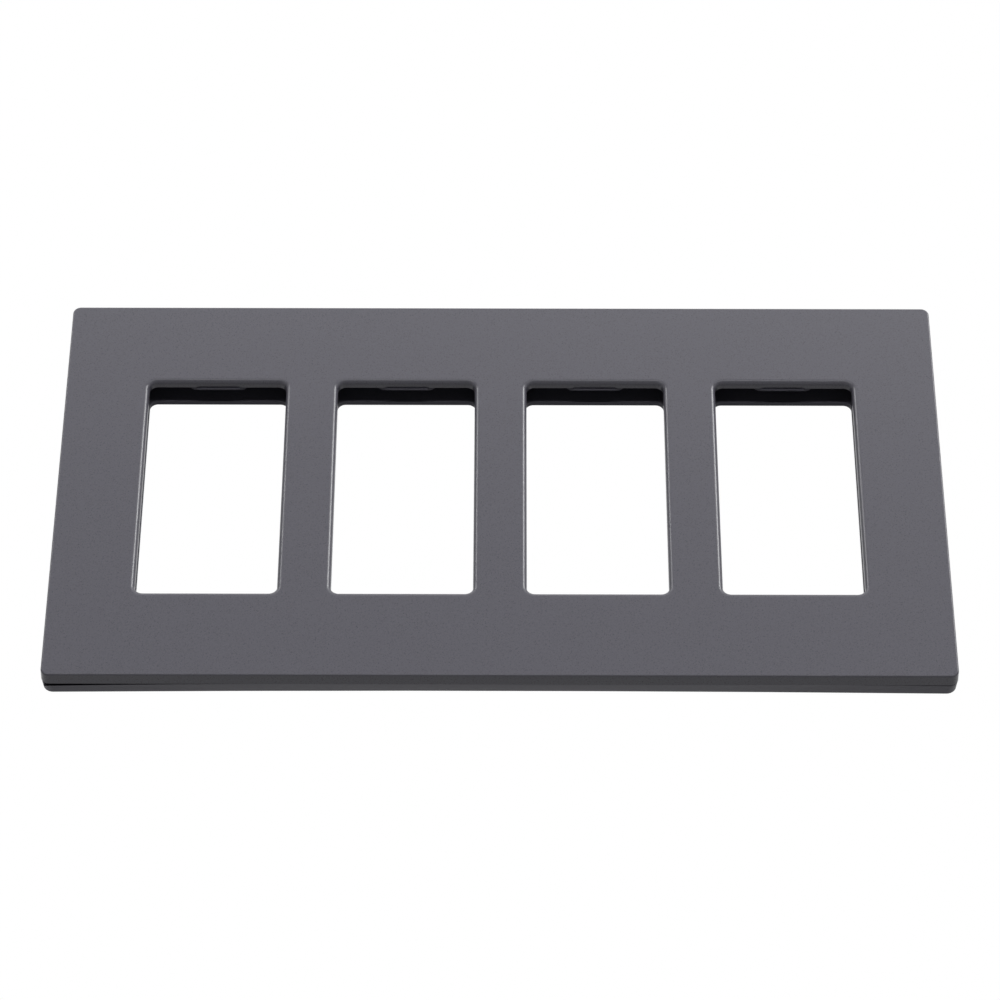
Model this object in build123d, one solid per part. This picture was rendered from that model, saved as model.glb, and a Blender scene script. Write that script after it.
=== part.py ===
from build123d import *
from math import radians, tan
import os

# A four-gang screwless wall plate for rocker-size switches and dimmers.
# A sub plate is screwed to the straps of the devices, and a front cover snaps over it and
# hides the screws. The plate is drawn lying on its back: X runs across it, Y up the wall and
# Z out of the wall, with the wall at Z = 0 under the middle of the plate. Each piece is
# turned upright as it is written, so the finished plate faces -Y with the wall at Y = 0.
# All sizes are in millimetres.

# Overall sizes
cover_w = 212.2
cover_h = 119.1
plate_depth = 7.6

# Gangs: standard spacing of devices side by side in one box
gang_count = 4
gang_pitch = 46.04

# Windows: the throat of each window in the cover, sized for the front of one device
window_w = 33.4
window_h = 68.0
window_corner_r = 2.0
lip_r = 1.2

# Front cover
cover_corner_r = 2.0
cover_edge_r = 0.4
face_t = 2.1
skirt_h = 3.2
skirt_t = 1.6
skirt_draft = 1.0
skirt_inner_r = 0.8

# Locating ribs under the cover, one round each collar of the sub plate
locating_rib_t = 1.0
locating_rib_h = 1.4
locating_gap = 0.3
mullion_rib_t = 1.0
mullion_rib_h = 1.0
mullion_rib_length = 62.0

# Sub plate: a shallow tray, open to the front. Its web carries one opening for each device,
# a little lower and wider than the window in the cover
web_t = 1.2
web_opening_w = 33.9
web_opening_h = 66.8
web_opening_corner_r = 2.0
ledge_inset = 0.05
foot_inset_x = 0.1
foot_inset_y = 1.2
foot_pull_in = 0.55
ledge_corner_r = 2.0
foot_corner_r = 2.4
upstand_t = 1.2
upstand_gap = 0.25
tray_corner_r = 1.0
cover_seat_gap = 0.05
lay_gap = 0.2

# The ledge under the skirt is level in its middle and curves down towards both ends
ledge_level_from_x = -46.0
ledge_level_to_x = 72.0
ledge_fall_left = 1.25
ledge_fall_right = 0.36

# Groove behind the ledge along each long side: an edge of the ledge is left in front of it
groove_edge = 0.3
groove_slope = 1.2

# Collars: walls on the web that stand back from each window, so only shade shows behind
# the edge of the cover
collar_step_x = 1.6
collar_step_y = 4.5
collar_corner_r = 2.2
collar_t = 1.2

# Centring tongues at the top and bottom of each window, on the collar's edge
tongue_root_w = 13.6
tongue_tip_w = 9.6
tongue_tip_l = 1.3
tongue_reach = 0.5
tongue_t = 1.0
tongue_lay_gap = 0.1
tongue_tip_r = 1.0
tongue_lead_in = 0.75

# Mounting screws, 6-32 with a slotted oval head, and their seats in the sub plate
screw_spacing_y = 96.8
screw_major_d = 3.505
screw_length = 7.94
screw_tip_chamfer = 0.5
screw_neck_d = 2.9
head_d = 6.9
head_edge_t = 0.15
head_crown_h = 0.7
head_angle = 82.0
head_slot_w = 1.1
head_slot_depth = 0.9
screw_hole_gap = 0.25
head_gap = 0.05
seat_h = 3.0
seat_d = 10.4
seat_chamfer = 0.5

# Snap hooks on the cover and catches in the wall of the tray
hook_w = 8.0
hook_end_inset = 14.0
hook_t = 1.0
hook_bite = 0.3
hook_gap = 0.1
hook_floor_gap = 0.4
hook_nose_h = 1.2
catch_side_gap = 0.5
catch_depth = 0.6
catch_lip_gap = 0.2

# Stiffening ribs in the tray
tray_rib_t = 1.0
tray_rib_h = 1.3
tray_rib_offset_x = 12.0
tray_mullion_rib_length = 60.0

# Levels above the wall
face_under_z = plate_depth - face_t
skirt_foot_z = plate_depth - skirt_h
ledge_z = skirt_foot_z - cover_seat_gap
tray_top_z = face_under_z - lay_gap
tongue_top_z = face_under_z - tongue_lay_gap

# Outlines of the tray, fitted inside the skirt of the cover
upstand_w = cover_w - 2 * (skirt_t + upstand_gap)
upstand_h = cover_h - 2 * (skirt_t + upstand_gap)
tray_w = upstand_w - 2 * upstand_t
tray_h = upstand_h - 2 * upstand_t
ledge_w = cover_w - 2 * ledge_inset
ledge_h = cover_h - 2 * ledge_inset
foot_w = cover_w - 2 * foot_inset_x
foot_h = cover_h - 2 * foot_inset_y
collar_inner_w = window_w + 2 * collar_step_x
collar_inner_h = window_h + 2 * collar_step_y
collar_w = collar_inner_w + 2 * collar_t
collar_h = collar_inner_h + 2 * collar_t
collar_outer_r = collar_corner_r + collar_t

# Places that repeat
window_xs = [(i - (gang_count - 1) / 2) * gang_pitch for i in range(gang_count)]
mullion_xs = [(i - gang_count / 2) * gang_pitch for i in range(1, gang_count)]
end_hook_x = cover_w / 2 - hook_end_inset
hook_xs = [-end_hook_x, *mullion_xs, end_hook_x]
screw_places = [(x, side * screw_spacing_y / 2) for side in (1, -1) for x in window_xs]


def slab(width, height, radius, low, high):
    """A rounded rectangle round the middle of the plate, from one level to another."""
    return Pos(0, 0, low) * extrude(RectangleRounded(width, height, radius), high - low)


def block(x, y, width, height, low, high):
    """A plain block by its middle and its lowest and highest level."""
    return Pos(x, y, (low + high) / 2) * Box(width, height, high - low)


def at_windows(solid):
    """The same solid at every window."""
    return [Pos(x, 0, 0) * solid for x in window_xs]


def cover_shell():
    """The face and skirt, as a drafted box that is open towards the wall."""
    outline = RectangleRounded(cover_w, cover_h, cover_corner_r)
    shell = Pos(0, 0, skirt_foot_z) * extrude(outline, skirt_h, taper=skirt_draft)
    front_rim = shell.faces().sort_by(Axis.Z)[-1].edges()
    shell = fillet(front_rim, cover_edge_r)
    cavity_w = cover_w - 2 * skirt_t
    cavity_h = cover_h - 2 * skirt_t
    return shell - slab(cavity_w, cavity_h, skirt_inner_r, skirt_foot_z, face_under_z)


def cut_cover_windows(shell):
    """Four openings, each with a lip that rolls over from the face into the throat."""
    throat = slab(window_w, window_h, window_corner_r, 0, plate_depth)
    opened = shell - at_windows(throat)
    front = opened.faces().sort_by(Axis.Z)[-1]
    lip_edges = [edge for wire in front.inner_wires() for edge in wire.edges()]
    return fillet(lip_edges, lip_r)


def cover_ribs():
    """A frame round each collar, and a straight rib behind each bar between windows.

    None of them reaches into the room that a collar needs.
    """
    low = face_under_z - locating_rib_h
    inner_w = collar_w + 2 * locating_gap
    inner_h = collar_h + 2 * locating_gap
    inner_r = collar_outer_r + locating_gap
    outer_w = inner_w + 2 * locating_rib_t
    outer_h = inner_h + 2 * locating_rib_t
    outer_r = inner_r + locating_rib_t
    frame = slab(outer_w, outer_h, outer_r, low, face_under_z)
    collar_room = slab(inner_w, inner_h, inner_r, low, face_under_z)
    rib_low = face_under_z - mullion_rib_h
    bars = [
        block(x, 0, mullion_rib_t, mullion_rib_length, rib_low, face_under_z)
        for x in mullion_xs
    ]
    return Part() + at_windows(frame) + bars - at_windows(collar_room)


def snap_hook():
    """One finger under the top edge of the cover, with its nose towards the skirt.

    It is drawn sprung in, as it is while it passes the catch, so the rigid nose clears it.
    """
    nose_y = tray_h / 2 - hook_gap
    outer_y = nose_y - hook_bite
    inner_y = outer_y - hook_t
    tip_z = web_t + hook_floor_gap
    profile = Polyline(
        (inner_y, face_under_z),
        (inner_y, tip_z),
        (outer_y - hook_bite, tip_z),
        (nose_y, tip_z + hook_nose_h / 2),
        (outer_y, tip_z + hook_nose_h),
        (outer_y, face_under_z),
        close=True,
    )
    return extrude(Plane.YZ * make_face(profile), hook_w / 2, both=True)


def front_cover():
    """The snap-fit cover with its windows, ribs and hooks."""
    cover = cut_cover_windows(cover_shell()) + cover_ribs()
    top_hooks = [Pos(x, 0, 0) * snap_hook() for x in hook_xs]
    return cover + top_hooks + [mirror(hook, Plane.XZ) for hook in top_hooks]


def rim_outline(width, height, radius, pull_in, level):
    """A rounded rectangle whose two long sides may bend in at their middle."""
    x = width / 2
    y = height / 2
    edges = []
    for sign in (1, -1):
        start = (-sign * (x - radius), sign * y)
        end = (sign * (x - radius), sign * y)
        if pull_in:
            edges.append(ThreePointArc(start, (0, sign * (y - pull_in)), end))
        else:
            edges.append(Line(start, end))
        side_start = (sign * x, sign * (y - radius))
        side_end = (sign * x, -sign * (y - radius))
        edges.append(RadiusArc(end, side_start, radius))
        edges.append(Line(side_start, side_end))
        edges.append(RadiusArc(side_end, (sign * (x - radius), -sign * y), radius))
    return Pos(0, 0, level) * make_face(edges)


def ledge_profile():
    """All that lies above the ledge: level in the middle, curved down towards both ends."""
    end_x = cover_w / 2
    return make_face(
        [
            fall_arc(ledge_level_from_x, -end_x, ledge_fall_left),
            Line((ledge_level_from_x, ledge_z), (ledge_level_to_x, ledge_z)),
            fall_arc(ledge_level_to_x, end_x, ledge_fall_right),
            Polyline(
                (end_x, ledge_z - ledge_fall_right),
                (end_x, plate_depth),
                (-end_x, plate_depth),
                (-end_x, ledge_z - ledge_fall_left),
            ),
        ]
    )


def ledge_cutter():
    """The space over the ledge, all round the upstand."""
    above = extrude(Plane.XZ * ledge_profile(), cover_h, both=True)
    return above - slab(upstand_w, upstand_h, skirt_inner_r, 0, plate_depth)


def ledge_groove():
    """The groove along the lower long side. It slants away from the edge of the ledge, so the
    line between the cover and the rim stays dark where the ledge falls.
    """
    start_y = ledge_h / 2 - groove_edge
    run = start_y - upstand_h / 2
    start = Plane.XZ.offset(start_y) * ledge_profile()
    slant = Vector(0, run, -run * groove_slope)
    groove = extrude(start, slant.length, dir=slant)
    edge_w = ledge_w - 2 * groove_edge
    inside = slab(edge_w, 2 * start_y, ledge_corner_r - groove_edge, 0, plate_depth)
    return groove & (inside - slab(upstand_w, upstand_h, skirt_inner_r, 0, plate_depth))


def fall_arc(level_x, end_x, fall):
    """One end of the ledge: an arc that leaves the level stretch without a corner."""
    return TangentArc((level_x, ledge_z), (end_x, ledge_z - fall), tangent=(end_x - level_x, 0))


def tray():
    """The rim with its slanted foot, the ledge, the upstand behind it and the thin web."""
    foot = rim_outline(foot_w, foot_h, foot_corner_r, foot_pull_in, 0)
    top = rim_outline(ledge_w, ledge_h, ledge_corner_r, 0, ledge_z)
    rim = loft(Sketch() + [foot, top], ruled=True)
    rim -= ledge_cutter() + ledge_groove() + mirror(ledge_groove(), Plane.XZ)
    upstand = slab(upstand_w, upstand_h, skirt_inner_r, web_t, tray_top_z)
    hollow = slab(tray_w, tray_h, tray_corner_r, web_t, plate_depth)
    return rim + upstand - hollow


def collar():
    """The wall round one window, from the web up to the underside of the cover."""
    return slab(collar_w, collar_h, collar_outer_r, 0, tray_top_z)


def window_opening():
    """The space inside one collar, and the device's opening through the web behind it."""
    room = slab(collar_inner_w, collar_inner_h, collar_corner_r, web_t, plate_depth)
    return room + slab(web_opening_w, web_opening_h, web_opening_corner_r, 0, web_t)


def tongue():
    """The centring tongue at the top of one window.

    It stands out from the edge of the collar just under the cover. Its tip has sloped,
    rounded ends, and a lead-in for the device slants off its back.
    """
    root_y = collar_inner_h / 2 + collar_t / 2
    tip_y = window_h / 2 - tongue_reach
    shoulder_y = tip_y + tongue_tip_l
    profile = make_face(
        Polyline(
            (-tongue_root_w / 2, root_y),
            (-tongue_root_w / 2, shoulder_y),
            (-tongue_tip_w / 2, tip_y),
            (tongue_tip_w / 2, tip_y),
            (tongue_root_w / 2, shoulder_y),
            (tongue_root_w / 2, root_y),
            close=True,
        )
    )
    tip_corners = profile.vertices().sort_by(Axis.Y)[:2]
    outline = fillet(tip_corners, tongue_tip_r)
    body = Pos(0, 0, tongue_top_z - tongue_t) * extrude(outline, tongue_t)
    slant = Polyline(
        (tip_y, tongue_top_z - tongue_t),
        (tip_y, tongue_top_z - tongue_t + tongue_lead_in),
        (tip_y + tongue_lead_in, tongue_top_z - tongue_t),
        close=True,
    )
    return body - extrude(Plane.YZ * make_face(slant), tongue_root_w, both=True)


def screw_seat():
    """A round boss on the web that takes the head of one mounting screw."""
    boss = Cylinder(seat_d / 2, seat_h, align=(Align.CENTER, Align.CENTER, Align.MIN))
    return chamfer(boss.faces().sort_by(Axis.Z)[-1].edges(), seat_chamfer)


def screw_hole():
    """The clearance hole and the countersink for one mounting screw, and the way in above."""
    hole_r = screw_major_d / 2 + screw_hole_gap
    sink_r = head_d / 2 + head_gap
    cone_top_z = seat_h - head_edge_t
    cone_low_z = cone_top_z - cone_height(sink_r - hole_r)
    profile = Polyline(
        (0, 0),
        (hole_r, 0),
        (hole_r, cone_low_z),
        (sink_r, cone_top_z),
        (sink_r, plate_depth),
        (0, plate_depth),
        close=True,
    )
    return revolve(Plane.XZ * make_face(profile), Axis.Z)


def cone_height(step):
    """The height over which the cone of a screw head widens by a step in radius."""
    return step / tan(radians(head_angle / 2))


def tray_ribs():
    """Ribs from each collar to the long walls, and one between each two collars."""
    top_z = web_t + tray_rib_h
    low_y = collar_h / 2 - collar_t / 2
    high_y = tray_h / 2 + upstand_t / 2
    middle_y = (low_y + high_y) / 2
    ribs = []
    for x in window_xs:
        for side in (1, -1):
            for offset in (-tray_rib_offset_x, tray_rib_offset_x):
                place = (x + offset, side * middle_y)
                ribs.append(block(*place, tray_rib_t, high_y - low_y, 0, top_z))
    for x in mullion_xs:
        ribs.append(block(x, 0, tray_rib_t, tray_mullion_rib_length, 0, top_z))
    return ribs


def catch_pocket():
    """The recess in the top wall of the tray that takes the nose of one hook."""
    low = web_t
    high = web_t + hook_floor_gap + hook_nose_h + catch_lip_gap
    width = hook_w + 2 * catch_side_gap
    return block(0, tray_h / 2, width, 2 * catch_depth, low, high)


def sub_plate():
    """The plate that is screwed to the devices and carries the cover."""
    plate = tray() + at_windows(collar()) + tray_ribs()
    plate += [Pos(x, y, 0) * screw_seat() for x, y in screw_places]
    plate -= at_windows(window_opening())
    plate -= [Pos(x, y, 0) * screw_hole() for x, y in screw_places]
    plate += at_windows(tongue()) + at_windows(mirror(tongue(), Plane.XZ))
    top_pockets = [Pos(x, 0, 0) * catch_pocket() for x in hook_xs]
    return plate - top_pockets - [mirror(pocket, Plane.XZ) for pocket in top_pockets]


def mounting_screw():
    """One screw at the middle of the plate, with its head at the level of the seats.

    Its thread is drawn as a plain cylinder of the major diameter, which begins where the screw
    leaves the plate; the run-out under the head is a narrower neck.
    """
    shank_r = screw_major_d / 2
    neck_r = screw_neck_d / 2
    head_r = head_d / 2
    rim_z = seat_h
    cone_top_z = rim_z - head_edge_t
    cone_low_z = cone_top_z - cone_height(head_r - neck_r)
    tip_z = rim_z - screw_length
    tip_r = shank_r - screw_tip_chamfer
    crown_z = rim_z + head_crown_h
    crown_mid_r = head_r / 2
    crown_ball_r = (head_r**2 + head_crown_h**2) / (2 * head_crown_h)
    crown_mid_z = crown_z - crown_ball_r + (crown_ball_r**2 - crown_mid_r**2) ** 0.5
    outline = Polyline(
        (0, crown_z),
        (0, tip_z),
        (tip_r, tip_z),
        (shank_r, tip_z + screw_tip_chamfer),
        (shank_r, 0),
        (neck_r, shank_r - neck_r),
        (neck_r, cone_low_z),
        (head_r, cone_top_z),
        (head_r, rim_z),
    )
    crown = ThreePointArc((head_r, rim_z), (crown_mid_r, crown_mid_z), (0, crown_z))
    screw = revolve(Plane.XZ * make_face([outline, crown]), Axis.Z)
    slot_low = crown_z - head_slot_depth
    return screw - block(0, 0, head_slot_w, head_d + 1, slot_low, crown_z + 1)


def write_piece(name, piece):
    """Turn one piece upright and write it under its name."""
    export_step(Rot(90, 0, 0) * piece, f"parts/{name}.step")


os.makedirs("parts", exist_ok=True)
write_piece("front_cover", front_cover())
write_piece("sub_plate", sub_plate())
for number, (x, y) in enumerate(screw_places):
    row = "top" if y > 0 else "bottom"
    gang = number % gang_count + 1
    write_piece(f"mounting_screw_{row}_{gang}", Pos(x, y, 0) * mounting_screw())
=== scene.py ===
# %% [markdown]
# A screwless wall plate for four rocker-size switches, shown as in a catalogue picture.
# The hard shapes come from the CAD frame: a front cover, a sub plate and eight screws. What
# Blender adds is how they look: moulded plastic with its fine texture, and real screw threads.
# Every cell below makes one thing, says why it is made that way, and prints what it made.

# %% Load the frame and keep its box
import math

import bmesh
import bpy
from mathutils import Matrix, Quaternion, Vector


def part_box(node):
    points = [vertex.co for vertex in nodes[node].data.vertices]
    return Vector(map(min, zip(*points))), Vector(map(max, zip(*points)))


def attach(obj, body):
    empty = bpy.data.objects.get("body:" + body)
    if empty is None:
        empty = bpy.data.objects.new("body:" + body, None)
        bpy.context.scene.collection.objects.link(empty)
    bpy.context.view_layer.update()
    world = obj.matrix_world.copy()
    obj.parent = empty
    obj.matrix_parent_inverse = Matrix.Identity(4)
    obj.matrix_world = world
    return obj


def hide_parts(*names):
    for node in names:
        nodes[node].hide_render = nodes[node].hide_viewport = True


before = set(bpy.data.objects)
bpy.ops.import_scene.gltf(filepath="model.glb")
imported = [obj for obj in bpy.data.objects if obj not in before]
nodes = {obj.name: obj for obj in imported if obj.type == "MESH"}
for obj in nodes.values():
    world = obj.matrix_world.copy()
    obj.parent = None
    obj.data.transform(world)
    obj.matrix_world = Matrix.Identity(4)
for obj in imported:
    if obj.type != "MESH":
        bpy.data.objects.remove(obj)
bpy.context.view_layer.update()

# %% [markdown]
# Blender works in metres, and a moulded part is thought of in millimetres, so one constant
# turns one into the other. The plate hangs upright: X runs across it, Z up the wall, and its
# face looks along -Y.

# %% Units and the size of the cover
MM = 0.001
cover_low, cover_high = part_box("front_cover")
print("cover, mm:", [round(side / MM, 2) for side in cover_high - cover_low])

# %% [markdown]
# Colours are picked as sRGB hex values, the way they are read off a swatch. Shaders expect
# linear light, so one function converts them.

# %% Hex colours to linear light
def linear(hex_colour):
    """An sRGB hex colour as the linear RGBA that a shader socket takes."""
    parts = [int(hex_colour[i:i + 2], 16) / 255 for i in (1, 3, 5)]
    light = [c / 12.92 if c <= 0.04045 else ((c + 0.055) / 1.055) ** 2.4 for c in parts]
    return (*light, 1.0)


print("mid grey:", [round(c, 3) for c in linear("#808080")])

# %% [markdown]
# Node trees are easier to read when one small function adds a node, sets its properties and
# input values, and makes its links. A setting is a property of the node, and an input is a
# socket by name or by number, given either a value or another node's output.

# %% Add a node with its settings and links
def add_node(tree, kind, settings=None, **inputs):
    """A new node. Inputs are socket names with _ for a space, or s0, s1 ... for a number."""
    node = tree.nodes.new(kind)
    for key, value in (settings or {}).items():
        setattr(node, key, value)
    for key, value in inputs.items():
        numbered = key[0] == "s" and key[1:].isdigit()
        socket = node.inputs[int(key[1:]) if numbered else key.replace("_", " ")]
        if isinstance(value, bpy.types.NodeSocket):
            tree.links.new(value, socket)
        else:
            socket.default_value = value
    return node


def new_material(name):
    """An empty node material with its output node."""
    material = bpy.data.materials.new(name)
    material.use_nodes = True
    material.node_tree.nodes.clear()
    output = material.node_tree.nodes.new("ShaderNodeOutputMaterial")
    return material, material.node_tree, output


print("node helpers ready")

# %% [markdown]
# The camera stands in front of the plate and well below it, and looks up, so the near long
# edge shows its depth. The long lens keeps the sides of the plate almost parallel. Its place
# and aim were worked out from the edges of the plate in the photograph.

# %% Camera
CAMERA_PLACE = Vector((1.6, -808.6, -730.9)) * MM
CAMERA_AIM = Vector((-0.06, -7.6, -4.9)) * MM
CAMERA_ROLL = math.radians(0.2)
CAMERA_LENS = 163.07
SENSOR = 36.0

camera_data = bpy.data.cameras.new("camera")
camera_data.lens = CAMERA_LENS
camera_data.sensor_width = SENSOR
camera_data.clip_start = 0.05
camera_data.clip_end = 50.0
camera = bpy.data.objects.new("camera", camera_data)
bpy.context.scene.collection.objects.link(camera)
aim = (CAMERA_AIM - CAMERA_PLACE).to_track_quat("-Z", "Y")
camera.rotation_mode = "QUATERNION"
camera.rotation_quaternion = aim @ Quaternion((0, 0, 1), CAMERA_ROLL)
camera.location = CAMERA_PLACE
bpy.context.scene.camera = camera
bpy.context.scene.view_settings.view_transform = "Standard"
print("camera distance, m:", round((CAMERA_AIM - CAMERA_PLACE).length, 3))

# %% [markdown]
# A catalogue picture has a white background and soft light. The white is only what the camera
# and the reflections see of the world; as a light, the world stays dim, so it doesn't wash out
# the dark plastic. Light Path tells these kinds of ray apart.

# %% World
AMBIENT_STRENGTH = 0.05
WHITE = (1, 1, 1, 1)


def seen_white(tree):
    """1 for rays from the camera, off a glossy surface or through glass, and 0 for the rest."""
    path = tree.nodes.new("ShaderNodeLightPath")
    seen = add_node(tree, "ShaderNodeMath", {"operation": "MAXIMUM"},
                    s0=path.outputs["Is Camera Ray"], s1=path.outputs["Is Glossy Ray"])
    seen = add_node(tree, "ShaderNodeMath", {"operation": "MAXIMUM"},
                    s0=seen.outputs[0], s1=path.outputs["Is Transmission Ray"])
    return seen.outputs[0]


world = bpy.data.worlds.new("studio_white")
world.use_nodes = True
bpy.context.scene.world = world
tree = world.node_tree
tree.nodes.clear()
dim = add_node(tree, "ShaderNodeBackground", Color=WHITE, Strength=AMBIENT_STRENGTH)
white = add_node(tree, "ShaderNodeBackground", Color=WHITE, Strength=1.0)
both = add_node(tree, "ShaderNodeMixShader", s0=seen_white(tree), s1=dim.outputs[0],
                s2=white.outputs[0])
add_node(tree, "ShaderNodeOutputWorld", Surface=both.outputs[0])
print("ambient strength:", AMBIENT_STRENGTH)

# %% [markdown]
# The floor lies far below the plate, because the camera is below it too. It is matte and pale,
# and it keeps whatever shadow reaches it. To the camera it is mixed with plain white, so it
# blends with the background, but it throws no more light on the plate.

# %% Floor
FLOOR_HEIGHT = -2.5
FLOOR_HALF = 30.0
FLOOR_WHITE = 0.95

floor_mesh = bpy.data.meshes.new("floor")
shape = bmesh.new()
bmesh.ops.create_grid(shape, x_segments=1, y_segments=1, size=FLOOR_HALF,
                      matrix=Matrix.Translation((0, 0, FLOOR_HEIGHT)))
shape.to_mesh(floor_mesh)
shape.free()
floor = bpy.data.objects.new("floor", floor_mesh)
bpy.context.scene.collection.objects.link(floor)

floor_material, tree, output = new_material("matte_white_floor")
paper = add_node(tree, "ShaderNodeBsdfDiffuse", Color=linear("#d8d8da"))
glow = add_node(tree, "ShaderNodeEmission", Color=WHITE, Strength=1.0)
share = add_node(tree, "ShaderNodeMath", {"operation": "MULTIPLY"}, s0=seen_white(tree),
                 s1=FLOOR_WHITE)
both = add_node(tree, "ShaderNodeMixShader", s0=share.outputs[0], s1=paper.outputs[0],
                s2=glow.outputs[0])
tree.links.new(both.outputs[0], output.inputs["Surface"])
floor.data.materials.append(floor_material)
print("floor at, m:", FLOOR_HEIGHT)

# %% [markdown]
# The light is soft and comes from six softboxes. A small one close above the plate makes the
# face a little brighter at the top, and leaves the rolled edges that look down in the shade. A
# softbox on each side stands high in front, where the rolled side edges of the windows mirror
# it into the camera, so they catch thin bright lines, and the right one is the stronger. A long
# strip straight in front reaches in under the edge of the cover. A faint box behind and below
# opens the sides that look down, as a pale table would. The last one stands behind the plate,
# so that views from behind aren't dark. Glossy surfaces don't mirror that one, because it would
# burn white spots into the corners that the camera sees at a low angle.

# %% Softboxes
# Places and sizes are in metres and powers in watts.
def softbox(name, place, width, height, power, mirrored=True):
    """A rectangular area lamp that faces the middle of the plate, and may leave no highlight."""
    lamp = bpy.data.lights.new(name, "AREA")
    lamp.shape = "RECTANGLE"
    lamp.size = width
    lamp.size_y = height
    lamp.energy = power
    box = bpy.data.objects.new(name, lamp)
    bpy.context.scene.collection.objects.link(box)
    box.location = place
    box.rotation_mode = "QUATERNION"
    box.rotation_quaternion = (-Vector(place)).to_track_quat("-Z", "Y")
    box.visible_glossy = mirrored
    return box


softbox("top_softbox", (-0.1, -0.45, 0.75), 0.9, 0.3, 1.6)
softbox("right_softbox", (1.15, -1.05, 1.4), 0.6, 0.6, 21.5)
softbox("left_softbox", (-1.15, -1.05, 1.4), 0.6, 0.6, 7.8)
softbox("front_softbox", (0.0, -2.0, 0.17), 2.4, 0.22, 15)
softbox("low_softbox", (0.0, 0.9, -1.2), 0.8, 0.8, 0.15)
softbox("back_softbox", (-0.6, 1.6, 1.2), 0.7, 0.7, 16, mirrored=False)
print("softboxes:", [lamp.name for lamp in bpy.data.lights])

# %% [markdown]
# The cover is injection-moulded ABS in a slate grey that leans slightly to violet. Its mould
# was spark-eroded, which leaves a very fine, even grain: it scatters the light, so the plastic
# looks matte and a little paler than it is. The grain is a noise bump. Real grains are about
# 0.1 mm across, and they are drawn at 0.3 mm so that they show in a picture of the whole plate.
# A slow mottle, hardly seen, keeps the wide face from looking like flat paint. Noise gathers
# round one half, so Map Range stretches its middle over the whole range.

# %% Moulded plastic with a spark-eroded texture
GRAIN = 0.3 * MM
GRAIN_DEPTH = 0.012 * MM
MOTTLE = 9.0 * MM


def moulded_plastic(name, colour, pale, dark, roughness, specular):
    """Textured plastic: two shades for the specks of the grain, and a slow mottle over all."""
    material, tree, output = new_material(name)
    where = tree.nodes.new("ShaderNodeTexCoord").outputs["Object"]
    grain = add_node(tree, "ShaderNodeTexNoise", Vector=where, Scale=1 / GRAIN, Detail=3.0,
                     Roughness=0.6)
    mottle = add_node(tree, "ShaderNodeTexNoise", Vector=where, Scale=1 / MOTTLE, Detail=2.0,
                      Roughness=0.5)
    specks = add_node(tree, "ShaderNodeMapRange", Value=grain.outputs["Fac"], s1=0.3, s2=0.7)
    fine = add_node(tree, "ShaderNodeMix", {"data_type": "RGBA"}, s0=specks.outputs[0],
                    s6=linear(dark), s7=linear(pale))
    slow = add_node(tree, "ShaderNodeMapRange", Value=mottle.outputs["Fac"], s1=0.35, s2=0.65,
                    s3=0.0, s4=0.35)
    tone = add_node(tree, "ShaderNodeMix", {"data_type": "RGBA"}, s0=slow.outputs[0],
                    s6=fine.outputs[2], s7=linear(colour))
    gloss = add_node(tree, "ShaderNodeMapRange", Value=grain.outputs["Fac"], s1=0.3, s2=0.7,
                     s3=roughness - 0.04, s4=roughness + 0.04)
    bump = add_node(tree, "ShaderNodeBump", Height=grain.outputs["Fac"], Strength=0.5,
                    Distance=GRAIN_DEPTH)
    plastic = add_node(tree, "ShaderNodeBsdfPrincipled", Base_Color=tone.outputs[2],
                       Roughness=gloss.outputs[0], Normal=bump.outputs[0], IOR=1.46,
                       Specular_IOR_Level=specular)
    tree.links.new(plastic.outputs[0], output.inputs["Surface"])
    return material


print("grain, mm:", GRAIN / MM)

# %% [markdown]
# Both mouldings come finished from the CAD frame, so they only need their plastic. The three
# shades are the plastic itself and the pale and dark specks of its grain. The sub plate is the
# same plastic from a duller mould, so it is rougher and mirrors less.

# %% The plastic of the cover and of the sub plate
SLATE = "#5a5962"
PALE_SPECK = "#605f69"
DARK_SPECK = "#535259"

cover_plastic = moulded_plastic("textured_slate_abs", SLATE, PALE_SPECK, DARK_SPECK,
                                roughness=0.3, specular=0.4)
sub_plastic = moulded_plastic("textured_slate_abs_sub_plate", SLATE, PALE_SPECK, DARK_SPECK,
                              roughness=0.45, specular=0.13)


def give(node, material):
    """Put a material in the slots of a CAD node."""
    mesh = nodes[node].data
    mesh.materials.clear()
    mesh.materials.append(material)


give("front_cover", cover_plastic)
give("sub_plate", sub_plastic)
print("plastics:", cover_plastic.name, sub_plastic.name)

# %% [markdown]
# Eight screws hold the sub plate to the devices. They hide under the cover, but they show when
# it is pulled off, and their ends stand out behind the plate. They are 6-32 machine screws with
# slotted oval heads. One is modelled at the middle of the plate, pointing away from the viewer
# along -Z, and eight copies are turned upright and moved into their seats.

# %% Sizes of one screw
SCREW_MAJOR = 3.505 / 2 * MM
SCREW_ROOT = 2.6 / 2 * MM
SCREW_NECK = 2.9 / 2 * MM
SCREW_PITCH = 25.4 / 32 * MM
SCREW_TIP = -4.94 * MM
TIP_CHAMFER = 0.5 * MM
HEAD_RADIUS = 3.45 * MM
HEAD_RIM = 3.0 * MM
HEAD_EDGE = 0.15 * MM
HEAD_CROWN = 0.7 * MM
HEAD_HALF_ANGLE = math.radians(41)
SLOT_WIDTH = 1.1 * MM
SLOT_DEPTH = 0.9 * MM
WELD = 0.002 * MM
print("thread pitch, mm:", round(SCREW_PITCH / MM, 3))

# %% [markdown]
# A thread is one tooth that goes round and along at the same time. Spin does both: it turns a
# short zigzag of one pitch about the axis and shifts it a little at each step, so each turn
# ends where the next begins. The doubles are merged, two planes cut the thread to length, and
# the tip is pulled in to a cone, as on a real screw.

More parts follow.
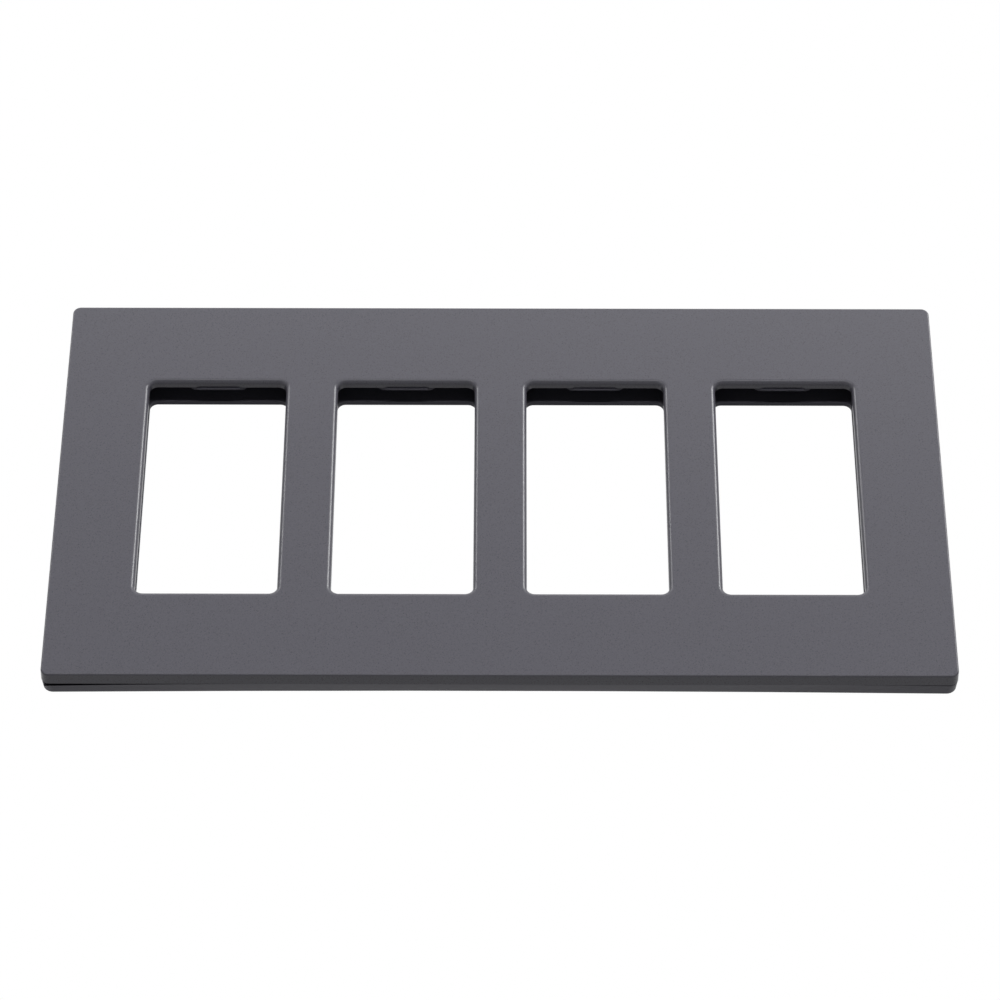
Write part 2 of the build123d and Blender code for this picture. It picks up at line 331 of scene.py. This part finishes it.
# %% The thread
THREAD_STEPS = 24
THREAD_TURNS = 9
FLANK_ANGLE = math.radians(30)
FLANK = (SCREW_MAJOR - SCREW_ROOT) * math.tan(FLANK_ANGLE)
CREST = SCREW_PITCH / 8


def chain(shape, points):
    """Vertices joined by edges, one after the other."""
    verts = [shape.verts.new(point) for point in points]
    edges = [shape.edges.new(pair) for pair in zip(verts, verts[1:])]
    return verts + edges


def cut_and_cap(shape, height, up):
    """Remove what lies beyond one height and close the end."""
    cut = bmesh.ops.bisect_plane(shape, geom=shape.verts[:] + shape.edges[:] + shape.faces[:],
                                 plane_co=(0, 0, height), plane_no=(0, 0, up), clear_outer=True)
    rim = [part for part in cut["geom_cut"] if isinstance(part, bmesh.types.BMEdge)]
    bmesh.ops.edgeloop_fill(shape, edges=rim)


def soften(shape, angle):
    """Smooth shading, except across edges sharper than an angle in degrees."""
    for face in shape.faces:
        face.smooth = True
    for edge in shape.edges:
        edge.smooth = edge.calc_face_angle(0.0) < math.radians(angle)


thread = bmesh.new()
start = SCREW_TIP - 1.5 * SCREW_PITCH
gap = SCREW_PITCH - 2 * FLANK - CREST
tooth = chain(thread, [
    (SCREW_ROOT, 0, start), (SCREW_ROOT, 0, start + gap), (SCREW_MAJOR, 0, start + gap + FLANK),
    (SCREW_MAJOR, 0, start + gap + FLANK + CREST), (SCREW_ROOT, 0, start + SCREW_PITCH)])
bmesh.ops.spin(thread, geom=tooth, cent=(0, 0, 0), axis=(0, 0, 1),
               dvec=(0, 0, SCREW_PITCH / THREAD_STEPS), angle=2 * math.pi * THREAD_TURNS,
               steps=THREAD_STEPS * THREAD_TURNS)
bmesh.ops.remove_doubles(thread, verts=thread.verts, dist=WELD)
cut_and_cap(thread, 0.0, 1)
cut_and_cap(thread, SCREW_TIP, -1)
for vert in thread.verts:
    radius = math.hypot(vert.co.x, vert.co.y)
    most = SCREW_MAJOR - TIP_CHAMFER + (vert.co.z - SCREW_TIP)
    if radius > most:
        vert.co.x *= most / radius
        vert.co.y *= most / radius
bmesh.ops.recalc_face_normals(thread, faces=thread.faces)
print("thread faces:", len(thread.faces))

# %% [markdown]
# The head is turned on a lathe, so it is a half outline spun once round: the neck, the cone of
# 82 degrees that sinks into its seat, a thin edge and a low crown. The crown is an arc, made by
# spinning a single vertex. The slot is milled, so a block is taken away with a Boolean.

# %% The head with its slot
HEAD_STEPS = 48
CROWN_STEPS = 6
NECK_END = -0.3 * MM

crown_ball = (HEAD_RADIUS ** 2 + HEAD_CROWN ** 2) / (2 * HEAD_CROWN)
cone_top = HEAD_RIM - HEAD_EDGE
cone_low = cone_top - (HEAD_RADIUS - SCREW_NECK) / math.tan(HEAD_HALF_ANGLE)
head = bmesh.new()
chain(head, [(0, 0, NECK_END), (SCREW_NECK, 0, NECK_END), (SCREW_NECK, 0, cone_low),
             (HEAD_RADIUS, 0, cone_top), (HEAD_RADIUS, 0, HEAD_RIM)])
peak = head.verts.new((0, 0, HEAD_RIM + HEAD_CROWN))
bmesh.ops.spin(head, geom=[peak], cent=(0, 0, HEAD_RIM + HEAD_CROWN - crown_ball),
               axis=(0, 1, 0), angle=math.asin(HEAD_RADIUS / crown_ball), steps=CROWN_STEPS)
bmesh.ops.remove_doubles(head, verts=head.verts, dist=WELD)
bmesh.ops.spin(head, geom=head.verts[:] + head.edges[:], cent=(0, 0, 0), axis=(0, 0, 1),
               angle=2 * math.pi, steps=HEAD_STEPS, use_merge=True)
bmesh.ops.remove_doubles(head, verts=head.verts, dist=WELD)
bmesh.ops.recalc_face_normals(head, faces=head.faces)


def loose_object(name, shape):
    """An object from a bmesh, which is freed."""
    mesh = bpy.data.meshes.new(name)
    shape.to_mesh(mesh)
    shape.free()
    thing = bpy.data.objects.new(name, mesh)
    bpy.context.scene.collection.objects.link(thing)
    return thing


slot = bmesh.new()
bmesh.ops.create_cube(slot, size=1.0)
bmesh.ops.scale(slot, verts=slot.verts, vec=(SLOT_WIDTH, 3 * HEAD_RADIUS, 2 * SLOT_DEPTH))
bmesh.ops.translate(slot, verts=slot.verts, vec=(0, 0, HEAD_RIM + HEAD_CROWN))
head_object = loose_object("screw_head", head)
slot_object = loose_object("screw_slot", slot)
milled = head_object.modifiers.new("slot", "BOOLEAN")
milled.operation = "DIFFERENCE"
milled.solver = "EXACT"
milled.object = slot_object
seen = head_object.evaluated_get(bpy.context.evaluated_depsgraph_get())
head_mesh = bpy.data.meshes.new_from_object(seen)
for thing in (head_object, slot_object):
    bpy.data.objects.remove(thing)
print("head faces:", len(head_mesh.polygons))

# %% [markdown]
# Head and thread go into one mesh. They overlap a little at the neck, where nobody sees it. The
# turned and rolled faces are shaded smooth, and edges sharper than 35 degrees stay sharp, so the
# flanks of the thread and the slot keep their lines.

# %% Join head and thread, and turn the screw upright
SHARP_ANGLE = 35

thread.from_mesh(head_mesh)
soften(thread, SHARP_ANGLE)
bmesh.ops.rotate(thread, verts=thread.verts, cent=(0, 0, 0),
                 matrix=Matrix.Rotation(math.radians(90), 3, "X"))
screw_mesh = bpy.data.meshes.new("mounting_screw")
thread.to_mesh(screw_mesh)
thread.free()
print("screw faces:", len(screw_mesh.polygons))

# %% [markdown]
# The screws are steel with a bright zinc plating: a metal, slightly blue, with a soft gloss that
# varies a little because the crystals of the plating grow unevenly. The blotches are about
# 0.6 mm across.

# %% Zinc-plated steel
PLATING_BLOTCH = 0.6 * MM

zinc, tree, output = new_material("zinc_plated_steel")
where = tree.nodes.new("ShaderNodeTexCoord").outputs["Object"]
blotch = add_node(tree, "ShaderNodeTexNoise", Vector=where, Scale=1 / PLATING_BLOTCH, Detail=3.0,
                  Roughness=0.55)
tint = add_node(tree, "ShaderNodeMapRange", Value=blotch.outputs["Fac"], s1=0.35, s2=0.65)
colour = add_node(tree, "ShaderNodeMix", {"data_type": "RGBA"}, s0=tint.outputs[0],
                  s6=linear("#b6babd"), s7=linear("#cfd3d6"))
gloss = add_node(tree, "ShaderNodeMapRange", Value=blotch.outputs["Fac"], s1=0.35, s2=0.65,
                 s3=0.38, s4=0.26)
grit = add_node(tree, "ShaderNodeBump", Height=blotch.outputs["Fac"], Strength=0.3,
                Distance=0.004 * MM)
steel = add_node(tree, "ShaderNodeBsdfPrincipled", Base_Color=colour.outputs[2], Metallic=1.0,
                 Roughness=gloss.outputs[0], Normal=grit.outputs[0])
tree.links.new(steel.outputs[0], output.inputs["Surface"])
print("plating blotch, mm:", PLATING_BLOTCH / MM)

# %% [markdown]
# The CAD screws are plain cylinders. Each one is replaced by a copy of the threaded screw in the
# same seat, which rides on the fixed plate, so it stays on the wall when the cover comes off.

# %% Eight screws in their seats
screw_nodes = sorted(name for name in nodes if name.startswith("mounting_screw"))
for name in screw_nodes:
    low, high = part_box(name)
    middle = (low + high) / 2
    mesh = screw_mesh.copy()
    mesh.transform(Matrix.Translation((middle.x, 0, middle.z)))
    mesh.materials.append(zinc)
    screw = bpy.data.objects.new(name.replace("mounting", "threaded"), mesh)
    bpy.context.scene.collection.objects.link(screw)
    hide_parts(name)
    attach(screw, "fixed_plate")
print("screws:", len(screw_nodes))
